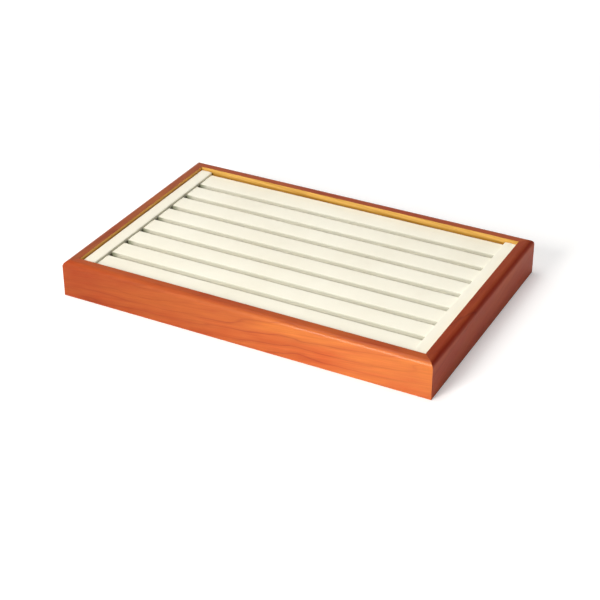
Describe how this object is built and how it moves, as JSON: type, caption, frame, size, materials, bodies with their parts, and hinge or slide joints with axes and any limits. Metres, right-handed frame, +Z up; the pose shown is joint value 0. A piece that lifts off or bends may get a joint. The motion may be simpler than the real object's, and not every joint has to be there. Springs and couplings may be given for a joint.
{
  "type": "jewelry display tray",
  "caption": "Rectangular wooden ring display tray: a mitred, round-edged frame on a thin base, with a lift-out insert of long padded bars that grip rings in the slots between them",
  "frame": {"origin": "centre of the footprint, on the surface that the tray stands on", "axes": "+X along the long side, +Y towards the back, away from the long side that faces the viewer, +Z up"},
  "size_m": [0.3, 0.196, 0.029],
  "materials": {
    "frame_wood": "clear gloss lacquer over red-brown stained hardwood",
    "brad_steel": "plain bright brad wire",
    "wood_filler": "tinted wood filler under the lacquer",
    "base_board_fibre": "thin hardboard",
    "base_felt": "dark felt",
    "insert_board_fibre": "grey-brown board",
    "slot_lining": "cream leatherette",
    "cream_leatherette": "matt cream leatherette",
    "foam": "soft foam"
  },
  "bodies": {
    "frame": {"front_rail": "frame_wood", "right_rail": "frame_wood", "back_rail": "frame_wood", "left_rail": "frame_wood", "corner_brads": "brad_steel", "brad_filler": "wood_filler", "base_board": "base_board_fibre", "base_felt": "base_felt", "base_brads": "brad_steel"},
    "insert": {"insert_board": "insert_board_fibre", "slot_lining": "slot_lining", "bar_cover_1": "cream_leatherette", "bar_cover_2": "cream_leatherette", "bar_cover_3": "cream_leatherette", "bar_cover_4": "cream_leatherette", "bar_cover_5": "cream_leatherette", "bar_cover_6": "cream_leatherette", "bar_cover_7": "cream_leatherette", "bar_cover_8": "cream_leatherette", "bar_foam_1": "foam", "bar_foam_2": "foam", "bar_foam_3": "foam", "bar_foam_4": "foam", "bar_foam_5": "foam", "bar_foam_6": "foam", "bar_foam_7": "foam", "bar_foam_8": "foam", "left_strip_cover": "cream_leatherette", "right_strip_cover": "cream_leatherette", "left_strip_foam": "foam", "right_strip_foam": "foam"}
  },
  "joints": [
    {"name": "insert_lift", "type": "slide", "parent": "frame", "child": "insert", "axis": [0, 0, 1], "range_m": [0, 0.04]}
  ]
}
